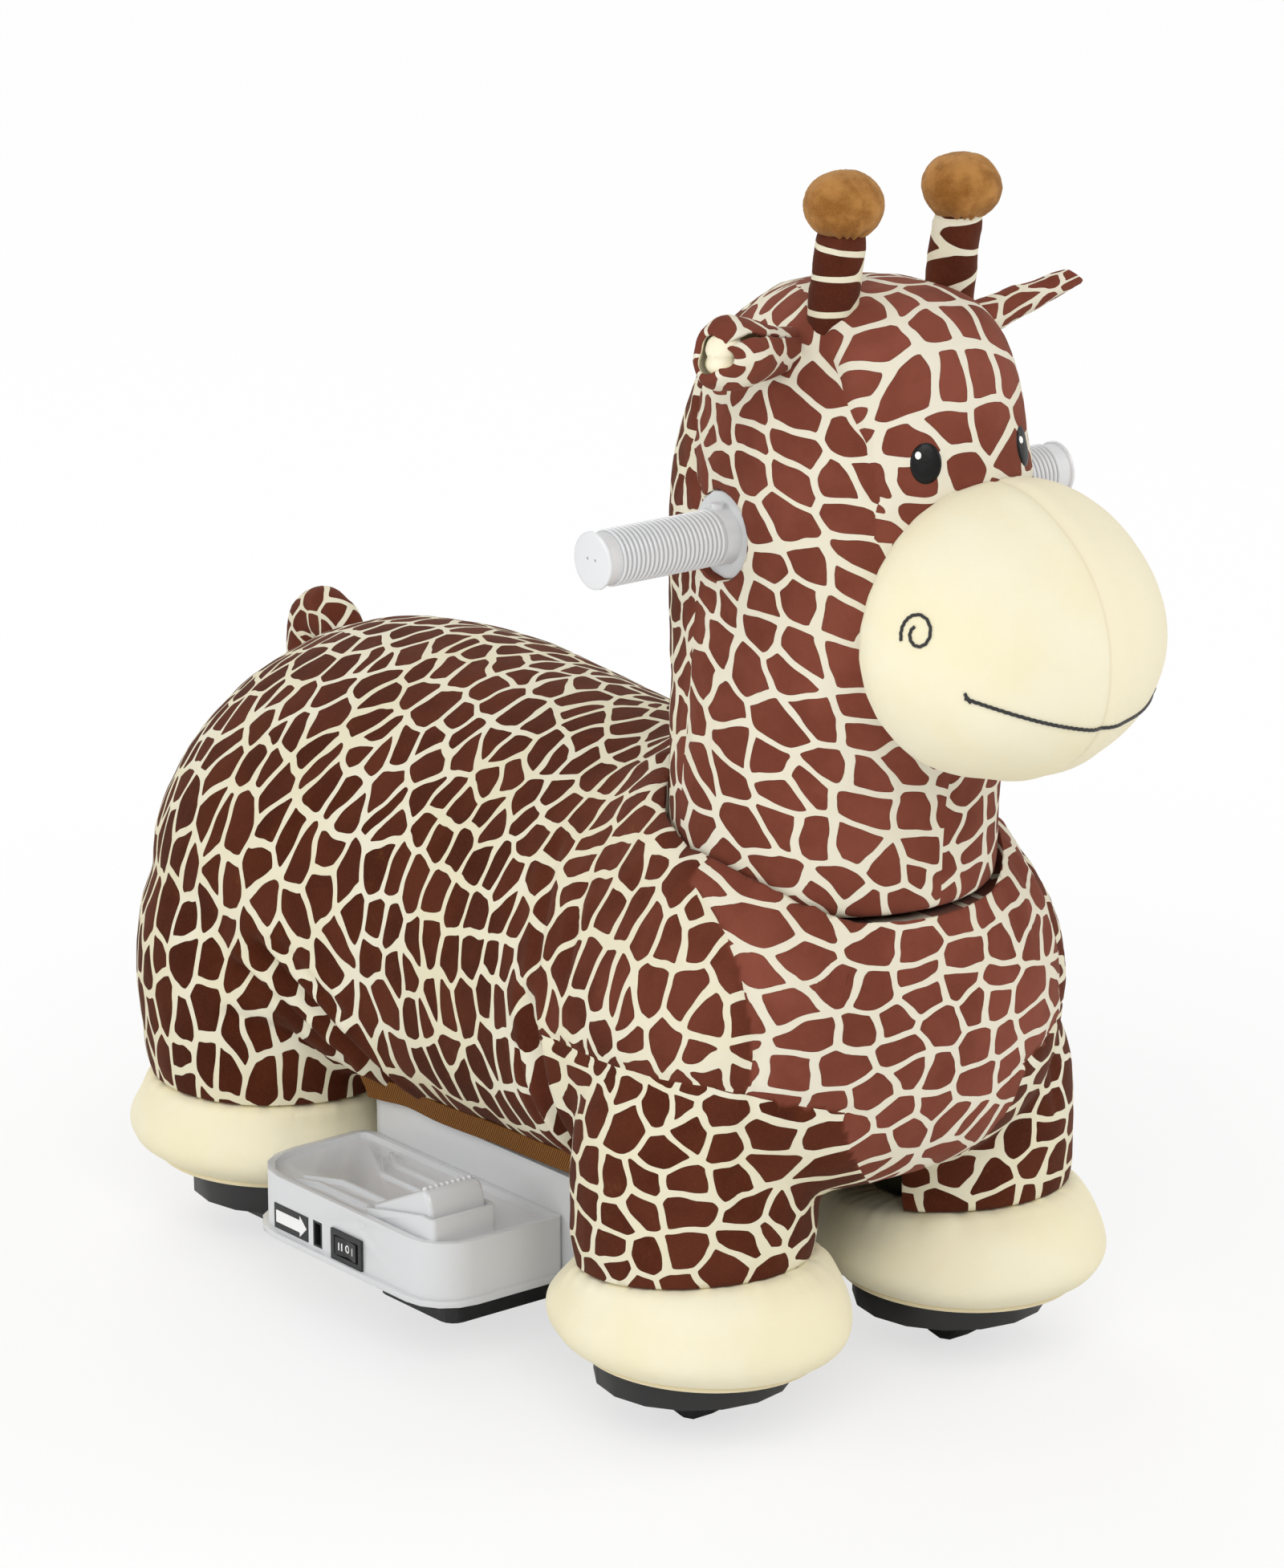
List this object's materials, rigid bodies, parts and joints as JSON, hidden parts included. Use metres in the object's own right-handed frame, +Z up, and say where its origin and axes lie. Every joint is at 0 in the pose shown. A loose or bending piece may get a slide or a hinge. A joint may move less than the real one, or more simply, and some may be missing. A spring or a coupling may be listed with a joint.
{
  "type": "plush electric ride-on giraffe",
  "caption": "Plush ride-on giraffe on small wheels with handlebar steering, side footrests, an accelerator pedal and an electric rear drive.",
  "frame": {"origin": "middle of the bounding box at floor level, under the belly", "axes": "+Z up, the giraffe faces -Y, its right side is -X"},
  "size_m": [0.41, 0.7906, 0.7643],
  "materials": {
    "giraffe_plush": "brown patches on cream short pile",
    "cream_plush": "cream short pile",
    "ossicone_plush": "golden brown short pile",
    "grey_plastic": "light grey moulding, light gloss",
    "black_plastic": "black moulding, satin",
    "tyre_rubber": "matt black",
    "steel": "bright steel",
    "painted_frame": "black enamel, satin",
    "acetal": "natural off-white",
    "circuit_board": "green board with dark parts",
    "battery_case": "dark grey moulding"
  },
  "bodies": {
    "carriage": {"front_frame": "painted_frame", "chassis_shell": "grey_plastic", "seat_frame": "black_plastic", "rear_frame": "painted_frame", "base_cover": "black_plastic", "battery": "battery_case", "control_board": "circuit_board", "charge_socket": "black_plastic", "switch_bezel": "black_plastic", "footplate_left": "grey_plastic", "footplate_right": "grey_plastic", "body_plush": "giraffe_plush", "tail": "giraffe_plush", "leg_moulding_front_right": "black_plastic", "leg_moulding_front_left": "black_plastic", "leg_plush_front_right": "giraffe_plush", "leg_plush_front_left": "giraffe_plush", "leg_plush_rear_right": "giraffe_plush", "leg_plush_rear_left": "giraffe_plush", "foot_plush_front_right": "cream_plush", "foot_plush_front_left": "cream_plush", "foot_plush_rear_right": "cream_plush", "foot_plush_rear_left": "cream_plush", "foot_cup_rear_right": "black_plastic", "foot_cup_rear_left": "black_plastic", "rear_bracket_right": "painted_frame", "rear_bracket_left": "painted_frame", "gearbox_case": "black_plastic", "gearbox_cover": "black_plastic", "gear_motor": "steel", "axle_rear_left": "steel", "pedal_spring": "steel"},
    "steering_head": {"steering_post": "painted_frame", "handlebar_tube": "steel", "grip_right": "grey_plastic", "grip_left": "grey_plastic", "bar_flange_right": "grey_plastic", "bar_flange_left": "grey_plastic", "head_plush": "giraffe_plush", "muzzle": "cream_plush", "ear_right": "giraffe_plush", "ear_left": "giraffe_plush", "horn_right": "ossicone_plush", "horn_left": "ossicone_plush"},
    "fork_right": {"fork_front_right": "steel", "steering_arm_right": "painted_frame"},
    "fork_left": {"fork_front_left": "steel", "steering_arm_left": "painted_frame"},
    "front_wheel_right": {"wheel_front_right": "tyre_rubber"},
    "front_wheel_left": {"wheel_front_left": "tyre_rubber"},
    "link_bar": {"tie_rod": "steel"},
    "drive_wheel": {"drive_axle": "steel", "wheel_rear_right": "tyre_rubber"},
    "rear_wheel_left": {"wheel_rear_left": "tyre_rubber"},
    "middle_gear": {"reduction_gear": "acetal"},
    "small_pinion": {"motor_pinion": "steel"},
    "rocker": {"rocker_button": "black_plastic"},
    "accelerator": {"pedal": "grey_plastic"}
  },
  "joints": [
    {"name": "steering", "type": "hinge", "parent": "carriage", "child": "steering_head", "pos_m": [0, -0.153, 0.546], "axis": [0, 0, 1], "range_deg": [-25, 25]},
    {"name": "fork_right_turn", "type": "hinge", "parent": "carriage", "child": "fork_right", "pos_m": [-0.103, -0.153, 0.024], "axis": [0, 0, 1], "range_deg": [-25, 25]},
    {"name": "fork_left_turn", "type": "hinge", "parent": "carriage", "child": "fork_left", "pos_m": [0.103, -0.153, 0.024], "axis": [0, 0, 1], "range_deg": [-25, 25]},
    {"name": "link_bar_turn", "type": "hinge", "parent": "steering_head", "child": "link_bar", "pos_m": [0, -0.118, 0.2066], "axis": [0, 0, 1], "range_deg": [-25, 25]},
    {"name": "front_wheel_right_spin", "type": "hinge", "parent": "fork_right", "child": "front_wheel_right", "pos_m": [-0.103, -0.153, 0.024], "axis": [1, 0, 0], "continuous": true},
    {"name": "front_wheel_left_spin", "type": "hinge", "parent": "fork_left", "child": "front_wheel_left", "pos_m": [0.103, -0.153, 0.024], "axis": [1, 0, 0], "continuous": true},
    {"name": "rear_wheel_left_spin", "type": "hinge", "parent": "carriage", "child": "rear_wheel_left", "pos_m": [0.103, 0.272, 0.024], "axis": [1, 0, 0], "continuous": true},
    {"name": "drive_wheel_spin", "type": "hinge", "parent": "carriage", "child": "drive_wheel", "pos_m": [-0.103, 0.272, 0.024], "axis": [1, 0, 0], "continuous": true},
    {"name": "middle_gear_spin", "type": "hinge", "parent": "carriage", "child": "middle_gear", "pos_m": [-0.07675, 0.272, 0.042], "axis": [1, 0, 0], "continuous": true},
    {"name": "motor_pinion_spin", "type": "hinge", "parent": "carriage", "child": "small_pinion", "pos_m": [-0.07675, 0.272, 0.066], "axis": [1, 0, 0], "continuous": true},
    {"name": "rocker_tilt", "type": "hinge", "parent": "carriage", "child": "rocker", "pos_m": [-0.195, 0.0653, 0.0652], "axis": [0, 0, 1], "range_deg": [-9, 9]},
    {"name": "pedal_press", "type": "hinge", "parent": "carriage", "child": "accelerator", "pos_m": [-0.16925, 0.0505, 0.0851], "axis": [1, 0, 0], "range_deg": [0, 4], "stiffness_Nm_per_rad": 4, "springref_deg": -2.01, "deforming": ["pedal_spring"]}
  ],
  "couplings": [
    {"joint": "fork_right_turn", "follows": "steering", "ratio": 1},
    {"joint": "fork_left_turn", "follows": "steering", "ratio": 1},
    {"joint": "link_bar_turn", "follows": "steering", "ratio": -1},
    {"joint": "middle_gear_spin", "follows": "drive_wheel_spin", "ratio": -2},
    {"joint": "motor_pinion_spin", "follows": "drive_wheel_spin", "ratio": 6}
  ]
}
